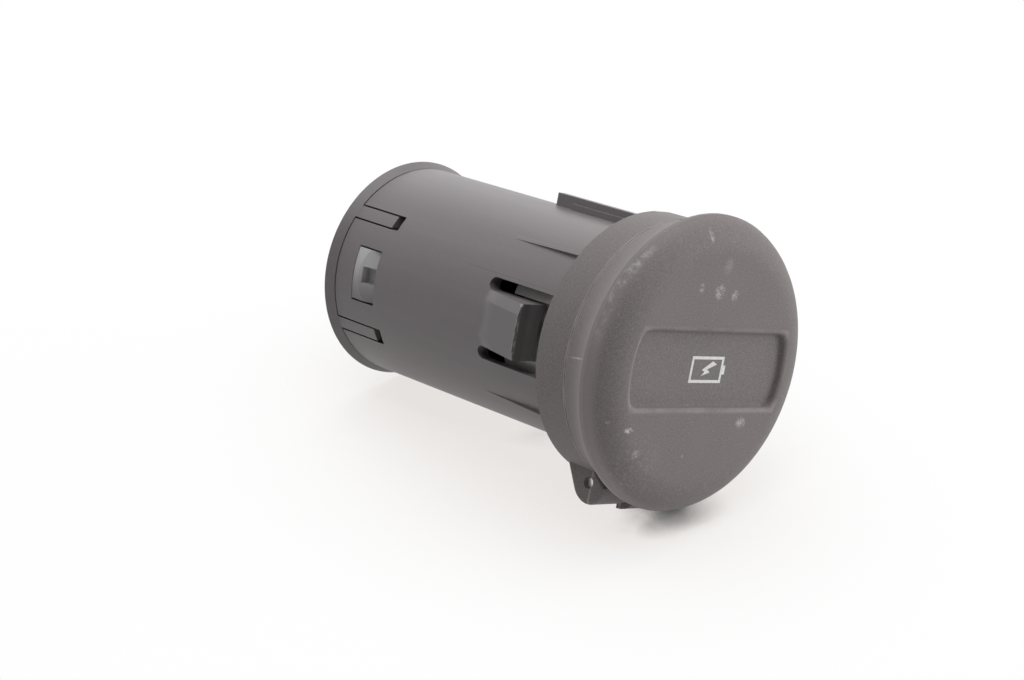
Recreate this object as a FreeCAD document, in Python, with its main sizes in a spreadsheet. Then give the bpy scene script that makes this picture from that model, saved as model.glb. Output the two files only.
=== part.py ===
import FreeCAD, Part
import math
import os
import PartDesign
import Sketcher

# Charging socket: a barrel that pushes into a round panel hole, closed at the front
# by a hinged lid and at the back by a snap-in cap with a connector mouth.
# Frame: +X to the right facing the lid, +Y into the panel, +Z up.
# The origin is the centre of the collar's seat on the panel. All sizes are in mm.

doc = FreeCAD.newDocument("ChargingSocket")

SIZES = [
    ("barrel_r", 14.5, "outer radius of the barrel"),
    ("barrel_wall", 1.8, "wall of the barrel"),
    ("barrel_front", -3.0, "front end of the barrel, inside the collar"),
    ("barrel_rear", 43.1, "rear end of the barrel"),
    ("tongue_tip", 4.95, "front end of each panel tongue"),
    ("tongue_root", 12.97, "start of the rounded slot ends"),
    ("tongue_half", 3.62, "half width of the panel tongues"),
    ("tongue_slot_w", 1.7, "width of each tongue slot"),
    ("slot_front", 0.9, "front end of the tongue slots"),
    ("barb_rise", 2.2, "height of the barb over the barrel"),
    ("barb_end", 13.8, "rear end of the barb's ramp"),
    ("barb_flat", 2.2, "half width of the level middle of the barb"),
    ("barb_drop", 0.42, "fall of the barb's bevels to its sides"),
    ("rib_end", 15.5, "rear end of the guide ribs"),
    ("rib_rise", 0.65, "height of the guide ribs at the collar"),
    ("rib_thick", 0.55, "thickness of the guide ribs"),
    ("rib_angle", 46.0, "angle of the guide ribs"),
    ("key_half", 0.55, "half width of the key rail's top"),
    ("key_top", 16.2, "height of the key rail over the axis"),
    ("key_end", 17.8, "rear end of the key rail"),
    ("key_foot_half", 1.0, "half width of the key rail's foot"),
    ("key_foot_top", 15.3, "height of the key rail's foot over the axis"),
    ("key_foot_end", 14.6, "rear end of the key rail's foot"),
    ("window_front", 35.0, "front edge of the latch windows"),
    ("window_rear", 39.6, "rear edge of the latch windows"),
    ("window_half", 3.75, "half width of the latch windows"),
    ("notch_mid", 7.77, "height of the finger notches over the axis"),
    ("notch_half", 0.98, "half width of the finger notches"),
    ("notch_front", 34.15, "front end of the finger notches"),
    ("rail_front", 17.0, "front end of the board rails"),
    ("rail_rear", 33.0, "rear end of the board rails"),
    ("rail_thick", 1.2, "thickness of the board rails"),
    ("loose_fit", 0.15, "gap round pieces that drop into a place"),
    ("slide_fit", 0.1, "gap round pieces that slide into a place"),
    ("flush_step", 0.05, "step of flush pieces below the barrel"),
    ("join_bite", 0.2, "overlap of pieces that are joined"),
    ("cut_past", 1.0, "run of a cut past the face that it opens"),
    ("collar_r", 17.4, "outer radius of the collar"),
    ("collar_front", -5.2, "front face of the collar"),
    ("seat_step", 0.5, "height of the panel seat"),
    ("collar_edge", 0.2, "bevel on the collar's back edge"),
    ("mouth_r", 13.2, "inner radius of the mouth"),
    ("lip_r", 14.9, "outer radius of the mouth lip"),
    ("lip_front", -8.0, "front end of the mouth lip"),
    ("pin_y", -4.7, "hinge pin, distance from the seat"),
    ("pin_z", -16.7, "hinge pin, height"),
    ("pin_r", 0.77, "radius of the hinge pin"),
    ("pin_half", 8.0, "half length of the hinge pin"),
    ("pin_press", 0.02, "gap of the pin in the ears"),
    ("pin_run", 0.05, "gap of the pin in the lid's knuckle"),
    ("ear_in", 3.2, "inner face of each hinge ear"),
    ("ear_out", 8.7, "outer face of each hinge ear"),
    ("ear_r", 2.8, "radius of the hinge ears"),
    ("ear_edge", 0.45, "rounding of the ears' outer edges"),
    ("ear_back", -0.35, "back face of the hinge ears"),
    ("ear_drop", 0.3, "fall from the ears' top to their sloping flank"),
    ("knuckle_half", 2.75, "half width of the lid's knuckle"),
    ("knuckle_r", 1.7, "radius of the lid's knuckle round the pin"),
    ("heel_r", 3.5, "radius of the lid's heel under the pin"),
    ("turn_gap", 0.35, "gap round turning faces"),
    ("hollow_rise", 1.3, "height of the hinge hollow over the pin"),
    ("lid_gap", 0.03, "gap between the lid and the collar"),
    ("lid_seam_r", 17.35, "outer radius of the lid at the collar"),
    ("lid_crest_r", 19.05, "radius of the lid's crest"),
    ("lid_crest_y", -10.1, "station of the lid's crest"),
    ("lid_crest_land", 0.55, "length of the lid's crest band"),
    ("lid_flare_bow", 0.22, "hollow of the lid's flare"),
    ("lid_face_y", -13.3, "front face of the lid"),
    ("lid_dome", 4.55, "width of the curved border of the face"),
    ("lid_in_r", 15.5, "inner radius of the lid at the collar"),
    ("lid_in_crest_r", 16.9, "inner radius of the lid under its crest"),
    ("lid_in_crest_y", -9.8, "station of the widest place inside the lid"),
    ("lid_in_face_r", 14.8, "inner radius of the lid at its face"),
    ("lid_in_face_y", -11.4, "inside of the lid's face"),
    ("grip_r", 13.95, "radius of the ends of the finger recess"),
    ("grip_half", 4.8, "half height of the finger recess"),
    ("grip_depth", 0.9, "depth of the finger recess"),
    ("grip_corner", 1.7, "corner radius of the finger recess"),
    ("grip_soft", 0.3, "rounding of the finger recess's floor"),
    ("grip_lip", 0.55, "rounding of the finger recess's rim"),
    ("face_front", -3.0, "front of the port face"),
    ("face_thick", 2.0, "thickness of the port face"),
    ("skirt_rear", 11.0, "rear end of the port face's skirt"),
    ("skirt_wall", 1.2, "wall of the port face's skirt"),
    ("skirt_flat", 10.0, "distance of the skirt's flats from the axis"),
    ("shell_w", 13.1, "width of each port shell"),
    ("shell_h", 5.7, "height of each port shell"),
    ("shell_wall", 0.3, "sheet of each port shell"),
    ("shell_front", -3.1, "front end of the port shells"),
    ("shell_rear", 11.0, "rear end of the port shells"),
    ("core_back", 1.3, "thickness of the port core's back block"),
    ("core_half", 5.6, "half width of the port core's tongue"),
    ("core_tongue", 1.8, "thickness of the port core's tongue"),
    ("core_gap", 0.65, "gap between the tongue and the shell"),
    ("core_front", -1.9, "front end of the port core's tongue"),
    ("strip_half", 0.5, "half width of the contact strips"),
    ("strip_thick", 0.2, "thickness of the contact strips"),
    ("strip_near", 1.0, "inner contact strips, distance from the middle"),
    ("strip_far", 3.5, "outer contact strips, distance from the middle"),
    ("strip_front", -1.2, "front end of the contact strips"),
    ("board_thick", 1.6, "thickness of the board"),
    ("board_side", 1.1, "gap between the board and the bore"),
    ("board_grip", 1.0, "depth of the board in the rails"),
    ("neck_side", 0.4, "gap between the board and the skirt"),
    ("board_front", 0.2, "front end of the board"),
    ("board_shoulder", 16.0, "start of the board's wide part"),
    ("board_rear", 34.0, "rear end of the board"),
    ("coil_side", 7.0, "side of the power coil"),
    ("coil_high", 3.6, "height of the power coil"),
    ("coil_y", 22.0, "station of the power coil"),
    ("coil_edge", 1.0, "corner bevel of the power coil"),
    ("can_in_r", 3.15, "radius of the input capacitor"),
    ("can_in_high", 7.6, "height of the input capacitor"),
    ("can_in_x", 5.6, "input capacitor, distance from the middle"),
    ("can_in_y", 27.4, "station of the input capacitor"),
    ("can_out_r", 2.5, "radius of the output capacitor"),
    ("can_out_high", 5.6, "height of the output capacitor"),
    ("can_out_x", 4.6, "output capacitor, distance from the middle"),
    ("can_out_y", 14.6, "station of the output capacitor"),
    ("can_edge", 0.35, "rounding of the capacitors"),
    ("chip_w", 3.9, "width of the controller chip"),
    ("chip_l", 4.9, "length of the controller chip"),
    ("chip_high", 1.5, "height of the controller chip"),
    ("chip_x", -4.2, "controller chip, distance from the middle"),
    ("chip_y", 14.8, "station of the controller chip"),
    ("port_chip_side", 3.0, "side of the port chip"),
    ("port_chip_high", 0.9, "height of the port chip"),
    ("port_chip_y", 16.5, "station of the port chip"),
    ("diode_w", 2.6, "width of the protection diode"),
    ("diode_l", 4.4, "length of the protection diode"),
    ("diode_high", 2.2, "height of the protection diode"),
    ("diode_x", -5.6, "protection diode, distance from the middle"),
    ("diode_y", 27.6, "station of the protection diode"),
    ("header_half", 5.6, "half width of the pin header"),
    ("header_long", 2.8, "length of the pin header"),
    ("header_high", 2.8, "height of the pin header"),
    ("terminal_pitch", 2.54, "pitch of the terminals"),
    ("terminal_side", 0.64, "side of the terminals"),
    ("terminal_z", 2.2, "height of the terminals over the axis"),
    ("terminal_front", 30.4, "front end of the terminals"),
    ("terminal_rear", 40.2, "rear end of the terminals"),
    ("cap_r", 15.25, "radius of the rear cap's rim"),
    ("cap_rear", 44.85, "rear face of the rear cap"),
    ("cap_edge", 0.3, "bevel on the rear cap's rim"),
    ("rim_gap", 0.2, "gap between the barrel and the rear cap's rim"),
    ("spigot_wall", 1.4, "wall of the rear cap's spigot"),
    ("spigot_front", 38.2, "front end of the rear cap's spigot"),
    ("latch_front", 34.6, "front end of the latch arms"),
    ("latch_side", 0.22, "gap beside each latch lug"),
    ("latch_dip", 1.15, "fall of each latch lug to its front end"),
    ("latch_land", 1.1, "level end of each latch lug"),
    ("latch_notch_half", 1.1, "half width of the notch in each latch lug"),
    ("latch_notch_rear", 38.0, "rear end of the notch in each latch lug"),
    ("latch_notch_floor", 13.0, "floor of the notch in each latch lug"),
    ("finger_front", 35.5, "front end of the cap's fingers"),
    ("finger_side", 0.2, "gap beside each of the cap's fingers"),
    ("plug_half", 6.3, "half width of the connector mouth"),
    ("plug_low", -0.6, "bottom of the connector mouth"),
    ("plug_high", 5.0, "top of the connector mouth"),
    ("plug_wall", 1.2, "wall of the connector mouth"),
    ("plug_floor", 35.8, "floor of the connector mouth"),
]

sheet = doc.addObject("Spreadsheet::Sheet", "Sizes")
for row, (alias, number, meaning) in enumerate(SIZES, 1):
    sheet.set("A%d" % row, alias)
    sheet.set("B%d" % row, str(number))
    sheet.set("C%d" % row, meaning)
    sheet.setAlias("B%d" % row, alias)
doc.recompute()


class Dim:
    """A size with its number and the sheet expression that gives it."""

    def __init__(self, text, number):
        self.text = text
        self.number = number

    def __add__(self, other):
        other = dim(other)
        return Dim("(%s + %s)" % (self.text, other.text), self.number + other.number)

    def __radd__(self, other):
        return dim(other) + self

    def __sub__(self, other):
        other = dim(other)
        return Dim("(%s - %s)" % (self.text, other.text), self.number - other.number)

    def __rsub__(self, other):
        return dim(other) - self

    def __mul__(self, other):
        other = dim(other)
        return Dim("(%s * %s)" % (self.text, other.text), self.number * other.number)

    def __rmul__(self, other):
        return dim(other) * self

    def __truediv__(self, other):
        other = dim(other)
        return Dim("(%s / %s)" % (self.text, other.text), self.number / other.number)

    def __neg__(self):
        return Dim("(0 - %s)" % self.text, -self.number)


def dim(value):
    """Any number or size as a size."""
    if isinstance(value, Dim):
        return value
    return Dim("(%s)" % repr(float(value)), float(value))


def size(alias):
    """The size that the sheet holds under this name."""
    return Dim("Sizes.%s" % alias, float(sheet.get(alias)))


def bind(thing, prop, value):
    """Tie a property to the sheet."""
    thing.setExpression(prop, dim(value).text)


def root_of(value):
    """The square root of a size."""
    return Dim("sqrt(%s)" % value.text, math.sqrt(value.number))


def block(name, x0, x1, y0, y1, z0, z1):
    """A box between two corners."""
    thing = doc.addObject("Part::Box", name)
    bind(thing, "Length", dim(x1) - dim(x0))
    bind(thing, "Width", dim(y1) - dim(y0))
    bind(thing, "Height", dim(z1) - dim(z0))
    bind(thing, "Placement.Base.x", x0)
    bind(thing, "Placement.Base.y", y0)
    bind(thing, "Placement.Base.z", z0)
    return thing


TURN = {
    "X": FreeCAD.Rotation(FreeCAD.Vector(0, 1, 0), 90),
    "Y": FreeCAD.Rotation(FreeCAD.Vector(1, 0, 0), -90),
    "Z": FreeCAD.Rotation(),
}


def rod(name, axis, radius, start, end, a=0, b=0):
    """A cylinder along an axis, a and b giving its place in the other two, in order."""
    thing = doc.addObject("Part::Cylinder", name)
    thing.Placement = FreeCAD.Placement(FreeCAD.Vector(), TURN[axis])
    bind(thing, "Radius", radius)
    bind(thing, "Height", dim(end) - dim(start))
    others = [letter for letter in "xyz" if letter != axis.lower()]
    bind(thing, "Placement.Base.%s" % axis.lower(), start)
    bind(thing, "Placement.Base.%s" % others[0], a)
    bind(thing, "Placement.Base.%s" % others[1], b)
    return thing


def join(name, pieces):
    """One solid from pieces that overlap or touch."""
    thing = doc.addObject("Part::MultiFuse", name)
    thing.Shapes = pieces
    return thing


def shared(name, pieces):
    """The space that all the pieces share."""
    thing = doc.addObject("Part::MultiCommon", name)
    thing.Shapes = pieces
    return thing


def less(name, base, tool):
    """The base with the tool's space taken away."""
    thing = doc.addObject("Part::Cut", name)
    thing.Base = base
    thing.Tool = tool
    return thing


def plane_of(body, role):
    """One of the body's own origin planes or axes."""
    for item in body.Origin.OriginFeatures:
        if item.Role == role:
            return item
    raise RuntimeError("no origin feature " + role)


STRAIGHT = 2


def outline(body, name, role, corners, offset=None, turn=None):
    """A closed sketch on an origin plane. A corner is (u, v), or (u, v, centre_u, centre_v, side)
    where the edge to the next corner is an arc round that centre, side +1 turning left.
    The offset moves the sketch off its plane, the turn swings it about its upright axis."""
    sketch = body.newObject("Sketcher::SketchObject", name)
    sketch.AttachmentSupport = [(plane_of(body, role), "")]
    sketch.MapMode = "FlatFace"
    if turn is not None:
        upright = FreeCAD.Rotation(FreeCAD.Vector(0, 1, 0), dim(turn).number)
        sketch.AttachmentOffset = FreeCAD.Placement(FreeCAD.Vector(), upright)
        bind(sketch, "AttachmentOffset.Rotation.Angle", turn)
    if offset is not None:
        bind(sketch, "AttachmentOffset.Base.z", offset)
    count = len(corners)
    ends = []
    for index, corner in enumerate(corners):
        after = corners[(index + 1) % count]
        here = FreeCAD.Vector(dim(corner[0]).number, dim(corner[1]).number, 0)
        there = FreeCAD.Vector(dim(after[0]).number, dim(after[1]).number, 0)
        if len(corner) == STRAIGHT:
            edge = sketch.addGeometry(Part.LineSegment(here, there), False)
            ends.append((edge, 1, 2))
            continue
        centre = FreeCAD.Vector(dim(corner[2]).number, dim(corner[3]).number, 0)
        radius = (here - centre).Length
        first = math.atan2(here.y - centre.y, here.x - centre.x)
        last = math.atan2(there.y - centre.y, there.x - centre.x)
        circle = Part.Circle(centre, FreeCAD.Vector(0, 0, 1), radius)
        if corner[4] > 0:
            edge = sketch.addGeometry(Part.ArcOfCircle(circle, first, last), False)
            ends.append((edge, 1, 2))
        else:
            edge = sketch.addGeometry(Part.ArcOfCircle(circle, last, first), False)
            ends.append((edge, 2, 1))
    for index in range(count):
        edge, start, finish = ends[index]
        follower = ends[(index + 1) % count]
        meet = Sketcher.Constraint("Coincident", edge, finish, follower[0], follower[1])
        sketch.addConstraint(meet)
    for index, corner in enumerate(corners):
        edge, start, finish = ends[index]
        fix_point(sketch, edge, start, corner[0], corner[1])
        if len(corner) > STRAIGHT:
            after = corners[(index + 1) % count]
            across = abs(dim(after[0]).number - dim(corner[0]).number)
            along = abs(dim(after[1]).number - dim(corner[1]).number)
            word, held = ("DistanceY", corner[3]) if across > along else ("DistanceX", corner[2])
            place = Sketcher.Constraint(word, -1, 1, edge, 3, dim(held).number)
            bind(sketch, "Constraints[%d]" % sketch.addConstraint(place), held)
    return sketch


def fix_point(sketch, edge, point, u, v):
    """Hold a point of a sketch at its two distances from the sketch's origin."""
    for word, value in (("DistanceX", u), ("DistanceY", v)):
        rule = Sketcher.Constraint(word, -1, 1, edge, point, dim(value).number)
        bind(sketch, "Constraints[%d]" % sketch.addConstraint(rule), value)


def new_body(name):
    """An empty body for sketches and features."""
    return doc.addObject("PartDesign::Body", name)


def turned(body, name, sketch):
    """A revolution about the sketch's horizontal axis."""
    feature = body.newObject("PartDesign::Revolution", name)
    feature.Profile = sketch
    feature.ReferenceAxis = (sketch, ["H_Axis"])
    feature.Angle = 360
    return feature


def pad(body, name, sketch, length):
    """A pad to both sides of its sketch."""
    feature = body.newObject("PartDesign::Pad", name)
    feature.Profile = sketch
    feature.SideType = "Symmetric"
    bind(feature, "Length", length)
    return feature


def lofted(body, name, sketch, last):
    """A straight-sided transition between two sketches."""
    feature = body.newObject("PartDesign::AdditiveLoft", name)
    feature.Profile = sketch
    feature.Sections = [last]
    feature.Ruled = True
    return feature


def pocket(body, name, sketch, length):
    """A pocket to both sides of its sketch."""
    feature = body.newObject("PartDesign::Pocket", name)
    feature.Profile = sketch
    feature.SideType = "Symmetric"
    bind(feature, "Length", length)
    return feature


def edges_where(shape, test):
    """Names of the edges whose middle point and ends pass the test."""
    names = []
    for index, edge in enumerate(shape.Edges, 1):
        middle = edge.valueAt((edge.FirstParameter + edge.LastParameter) / 2)
        if test(edge, middle):
            names.append("Edge%d" % index)
    if not names:
        raise RuntimeError("no edge passes the test")
    return names


def rounded(body, name, base, radius, test):
    """A fillet on the edges that pass the test."""
    doc.recompute()
    feature = body.newObject("PartDesign::Fillet", name)
    feature.Base = (base, edges_where(base.Shape, test))
    bind(feature, "Radius", radius)
    return feature


NEAR = 0.001
finished = []


def finish(thing, node):
    """Name a finished piece."""
    thing.Label = node
    finished.append(thing)
    return thing


# Sizes used by several pieces
barrel_r = size("barrel_r")
bore_r = barrel_r - size("barrel_wall")
barrel_front = size("barrel_front")
barrel_rear = size("barrel_rear")
loose = size("loose_fit")
slide = size("slide_fit")
pin_y = size("pin_y")
pin_z = size("pin_z")
pin_r = size("pin_r")
turn_gap = size("turn_gap")
board_top = size("board_thick") / 2
bite = size("join_bite")
past = size("cut_past")
flush_r = barrel_r - size("flush_step")
wall_mid_r = barrel_r - size("barrel_wall") / 2
through = 3 * barrel_r
SIDES = ((1, "Right"), (-1, "Left"))
LEVELS = ((1, "High"), (-1, "Low"))

# Barrel: a tube with two panel tongues, four guide ribs, a key rail, latch windows,
# finger notches and rails for the board

barrel = new_body("Barrel")
tube_line = [
    (barrel_front, bore_r),
    (barrel_rear, bore_r),
    (barrel_rear, barrel_r),
    (barrel_front, barrel_r),
]
turned(barrel, "BarrelTube", outline(barrel, "BarrelLine", "YZ_Plane", tube_line))

tongue_half = size("tongue_half")
slot_out = tongue_half + size("tongue_slot_w")
slot_mid = tongue_half + size("tongue_slot_w") / 2
root = size("tongue_root")
slot_front = size("slot_front")
for side, mark in LEVELS:
    slot_line = [
        (slot_front, side * tongue_half),
        (root, side * tongue_half, root, side * slot_mid, side),
        (root, side * slot_out),
        (slot_front, side * slot_out),
    ]
    slot_sketch = outline(barrel, "Slot" + mark, "YZ_Plane", slot_line)
    pocket(barrel, "SlotCut" + mark, slot_sketch, through)
    notch_low = side * (size("notch_mid") - size("notch_half"))
    notch_high = side * (size("notch_mid") + size("notch_half"))
    notch_line = [
        (size("notch_front"), notch_low),
        (barrel_rear + past, notch_low),
        (barrel_rear + past, notch_high),
        (size("notch_front"), notch_high),
    ]
    notch_sketch = outline(barrel, "Notch" + mark, "YZ_Plane", notch_line)
    pocket(barrel, "NotchCut" + mark, notch_sketch, through)

gap_half = tongue_half + loose
gap_line = [
    (slot_front, -gap_half),
    (size("tongue_tip"), -gap_half),
    (size("tongue_tip"), gap_half),
    (slot_front, gap_half),
]
gap_sketch = outline(barrel, "TongueGapLine", "YZ_Plane", gap_line)
pocket(barrel, "TongueGap", gap_sketch, through)

window_half = size("window_half")
window_line = [
    (size("window_front"), -window_half),
    (size("window_rear"), -window_half),
    (size("window_rear"), window_half),
    (size("window_front"), window_half),
]
window_sketch = outline(barrel, "LatchWindowLine", "YZ_Plane", window_line)
pocket(barrel, "LatchWindow", window_sketch, through)

barb_flat = size("barb_flat")
barb_drop = size("barb_drop")


def barb_section(name, side, place, top):
    """The barb's outline across the tongue at one station."""
    section = [
        (side * wall_mid_r, -tongue_half),
        (side * (top - barb_drop), -tongue_half),
        (side * top, -barb_flat),
        (side * top, barb_flat),
        (side * (top - barb_drop), tongue_half),
        (side * wall_mid_r, tongue_half),
    ]
    return outline(barrel, name, "XZ_Plane", section, offset=-place)


for side, mark in SIDES:
    barb_tip = barb_section("BarbTip" + mark, side, size("tongue_tip"), barrel_r + size("barb_rise"))
    barb_end = barb_section("BarbEnd" + mark, side, size("barb_end"), barrel_r - bite)
    lofted(barrel, "Barb" + mark, barb_tip, barb_end)

rail_start = slide - size("seat_step")
rib_line = [
    (wall_mid_r, rail_start),
    (barrel_r + size("rib_rise"), rail_start),
    (flush_r, size("rib_end")),
    (wall_mid_r, size("rib_end")),
]
rib_sketch = outline(barrel, "RibLine", "XY_Plane", rib_line, turn=size("rib_angle"))
rib = pad(barrel, "Rib", rib_sketch, size("rib_thick"))
ribs = barrel.newObject("PartDesign::PolarPattern", "Ribs")
ribs.Originals = [rib]
ribs.Axis = (plane_of(barrel, "Y_Axis"), [""])
ribs.Angle = 360
ribs.Occurrences = 4
barrel.Tip = ribs

for mark, half, top, rear in (
    ("Top", size("key_half"), size("key_top"), size("key_end")),
    ("Foot", size("key_foot_half"), size("key_foot_top"), size("key_foot_end")),
):
    key_line = [
        (rail_start, wall_mid_r),
        (rear, wall_mid_r),
        (rear, top),
        (rail_start, top),
    ]
    key_sketch = outline(barrel, "KeyLine" + mark, "YZ_Plane", key_line)
    pad(barrel, "Key" + mark, key_sketch, 2 * half)

rail_near = board_top + slide
rail_far = rail_near + size("rail_thick")
board_half = bore_r - size("board_side")
rail_in = board_half - size("board_grip")
for side, side_mark in SIDES:
    for level, level_mark in LEVELS:
        mark = side_mark + level_mark
        rail_line = [
            (side * rail_in, size("rail_front")),
            (side * wall_mid_r, size("rail_front")),
            (side * wall_mid_r, size("rail_rear")),
            (side * rail_in, size("rail_rear")),
        ]
        rail_mid = level * (rail_near + rail_far) / 2
        rail_sketch = outline(barrel, "Rail" + mark, "XY_Plane", rail_line, offset=rail_mid)
        pad(barrel, "RailPad" + mark, rail_sketch, size("rail_thick"))
finish(barrel, "outer_tube")

# Collar: ring with the panel seat, the mouth lip under the lid and the two hinge ears

collar = new_body("Collar")
collar_r = size("collar_r")
collar_front = size("collar_front")
edge = size("collar_edge")
seat_floor = -size("seat_step")
bed_r = barrel_r + slide
seat_in = (bed_r + collar_r - edge) / 2
ring_line = [
    (barrel_front, bed_r),
    (seat_floor, bed_r),
    (seat_floor, seat_in),
    (dim(0), seat_in),
    (dim(0), collar_r - edge),
    (-edge, collar_r),
    (collar_front, collar_r),
    (collar_front, size("lip_r")),
    (size("lip_front"), size("lip_r")),
    (size("lip_front"), size("mouth_r")),
    (barrel_front, size("mouth_r")),
]
turned(collar, "CollarRing", outline(collar, "CollarLine", "YZ_Plane", ring_line))

ear_in = size("ear_in")
ear_out = size("ear_out")
ear_r = size("ear_r")
ear_back = size("ear_back")
ear_top = -bed_r
ear_flank = ear_top - size("ear_drop")
reach = ear_back - pin_y
lift = ear_flank - pin_z
span = reach * reach + lift * lift
tangent = root_of(span - ear_r * ear_r)
flank_y = pin_y + (ear_r * ear_r * reach + ear_r * tangent * lift) / span
flank_z = pin_z + (ear_r * ear_r * lift - ear_r * tangent * reach) / span
ear_line = [
    (ear_back, ear_top),
    (collar_front + loose, ear_top),
    (pin_y - ear_r, pin_z, pin_y, pin_z, 1),
    (flank_y, flank_z),
    (ear_back, ear_flank),
]
ears = []
for side, mark in SIDES:
    ear = new_body("Ear" + mark)
    ear_mid = side * (ear_in + ear_out) / 2
    ear_sketch = outline(ear, "EarLine" + mark, "YZ_Plane", ear_line, offset=ear_mid)
    ear_pad = pad(ear, "EarPad" + mark, ear_sketch, ear_out - ear_in)
    ear_face = side * ear_out.number

    def on_ear_rim(edge, middle):
        """The edge round the ear's outer face, without its straight top."""
        return abs(middle.x - ear_face) < NEAR and middle.z < ear_top.number - NEAR

    rounded(ear, "EarRound" + mark, ear_pad, size("ear_edge"), on_ear_rim)
    ears.append(ear)
collar_full = join("CollarFull", [collar] + ears)

# The mouth stays open above the ears, and the lid's knuckle turns in a hollow between them
hollow = new_body("Hollow")
hollow_r = size("heel_r") + turn_gap
hollow_top = pin_z + size("hollow_rise")
pin_space = size("knuckle_r") + turn_gap
hollow_line = [
    (pin_y - hollow_r, pin_z, pin_y, pin_z, 1),
    (pin_y + hollow_r, pin_z),
    (pin_y + hollow_r, hollow_top),
    (pin_y - hollow_r, hollow_top),
]
knuckle_gap = size("knuckle_half") + turn_gap
hollow_sketch = outline(hollow, "HeelHollowLine", "YZ_Plane", hollow_line)
pad(hollow, "HeelHollow", hollow_sketch, 2 * knuckle_gap)
bore_fit_r = pin_r + size("pin_press")
key_way = size("key_foot_half") + loose
collar_cuts = join(
    "CollarCuts",
    [
        hollow,
        rod("KnuckleHollow", "X", pin_space, -knuckle_gap, knuckle_gap, pin_y, pin_z),
        rod("MouthClear", "Y", size("mouth_r"), size("lip_front") - past, barrel_front),
        rod("EarBore", "X", bore_fit_r, -2 * ear_out, 2 * ear_out, pin_y, pin_z),
        block("KeyWay", -key_way, key_way, seat_floor, past, bed_r - past, collar_r + past),
    ],
)
finish(less("CollarDone", collar_full, collar_cuts), "collar")

# Lid: a flared cap with a curved border, a finger recess and a knuckle on the hinge pin

lid = new_body("Lid")
seam_y = collar_front - size("lid_gap")
seam_r = size("lid_seam_r")
crest_r = size("lid_crest_r")
crest_y = size("lid_crest_y")
crest_back = crest_y + size("lid_crest_land")
face_y = size("lid_face_y")
dome = size("lid_dome")
dome_h = crest_y - face_y
dome_r = (dome * dome + dome_h * dome_h) / (2 * dome_h)
flare_dy = seam_y - crest_back
flare_dr = crest_r - seam_r
flare_long = root_of(flare_dy * flare_dy + flare_dr * flare_dr)
bow = size("lid_flare_bow")
flare_rad = (flare_long * flare_long / 4 + bow * bow) / (2 * bow)
flare_off = flare_rad - bow
flare_cy = (seam_y + crest_back) / 2 + flare_off * flare_dr / flare_long
flare_cr = (seam_r + crest_r) / 2 + flare_off * flare_dy / flare_long
lid_line = [
    (seam_y, size("lid_in_r")),
    (seam_y, seam_r, flare_cy, flare_cr, -1),
    (crest_back, crest_r),
    (crest_y, crest_r, face_y + dome_r, crest_r - dome, 1),
    (face_y, crest_r - dome),
    (face_y, dim(0)),
    (size("lid_in_face_y"), dim(0)),
    (size("lid_in_face_y"), size("lid_in_face_r")),
    (size("lid_in_crest_y"), size("lid_in_crest_r")),
]
turned(lid, "LidShell", outline(lid, "LidLine", "YZ_Plane", lid_line))

grip = new_body("Grip")
grip_r = size("grip_r")
grip_half = size("grip_half")
grip_lip = size("grip_lip")
grip_deep = face_y + size("grip_depth")
grip_out = face_y - past


def grip_layer(name, grown, rear):
    """A layer of the recess's space, from the front of the face to its rear, with round corners."""
    radius = grip_r + grown
    half = grip_half + grown
    reach = root_of(radius * radius - half * half)
    line = [
        (-reach, -half),
        (reach, -half, dim(0), dim(0), 1),
        (reach, half),
        (-reach, half, dim(0), dim(0), 1),
    ]
    middle = (rear + grip_out) / 2
    layer = pad(grip, name, outline(grip, name + "Line", "XZ_Plane", line, offset=-middle), rear - grip_out)

    def on_corner(edge, at):
        """The four corner edges, along the lid's axis."""
        return abs(abs(at.z) - half.number) < NEAR and abs(abs(at.x) - reach.number) < NEAR

    return rounded(grip, name + "Corners", layer, size("grip_corner"), on_corner)


def on_grip_floor(edge, at):
    """The edge round the floor of the recess."""
    return abs(at.y - grip_deep.number) < NEAR


def on_grip_lip(edge, at):
    """The edge round the mouth of the recess, in the lid's face."""
    inside = abs(at.z) < grip_half.number + NEAR and math.hypot(at.x, at.z) < grip_r.number + NEAR
    return abs(at.y - face_y.number) < NEAR and inside


grip_layer("GripMouth", 2 * grip_lip, face_y)
grip_deepest = grip_layer("GripWell", dim(0), grip_deep)
grip_floor = rounded(grip, "GripFloor", grip_deepest, size("grip_soft"), on_grip_floor)
rounded(grip, "GripLip", grip_floor, grip_lip, on_grip_lip)

knuckle = new_body("Knuckle")
knuckle_half = size("knuckle_half")
knuckle_r = size("knuckle_r")
heel_r = size("heel_r")
knuckle_line = [
    (pin_y - heel_r, pin_z, pin_y, pin_z, 1),
    (pin_y, pin_z - heel_r),
    (pin_y, pin_z - knuckle_r, pin_y, pin_z, 1),
    (pin_y + knuckle_r, pin_z, pin_y, pin_z, 1),
    (pin_y - knuckle_r, pin_z),
]
knuckle_sketch = outline(knuckle, "KnuckleLine", "YZ_Plane", knuckle_line)
pad(knuckle, "KnucklePad", knuckle_sketch, 2 * knuckle_half)
lid_full = join("LidFull", [lid, knuckle])

ear_space = ear_r + turn_gap
lid_cuts = [
    grip,
    rod("KnuckleBore", "X", pin_r + size("pin_run"), -ear_out, ear_out, pin_y, pin_z),
]
space_front = pin_y - ear_space
space_rear = pin_y + ear_space
for side, mark in SIDES:
    near = knuckle_half if side > 0 else -ear_out - turn_gap
    far = ear_out + turn_gap if side > 0 else -knuckle_half
    lid_cuts.append(rod("EarSpace" + mark, "X", ear_space, near, far, pin_y, pin_z))
    lid_cuts.append(
        block("EarTop" + mark, near, far, space_front, space_rear, pin_z, pin_z + ear_space)
    )
finish(less("LidDone", lid_full, join("LidCuts", lid_cuts)), "lid")

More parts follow.
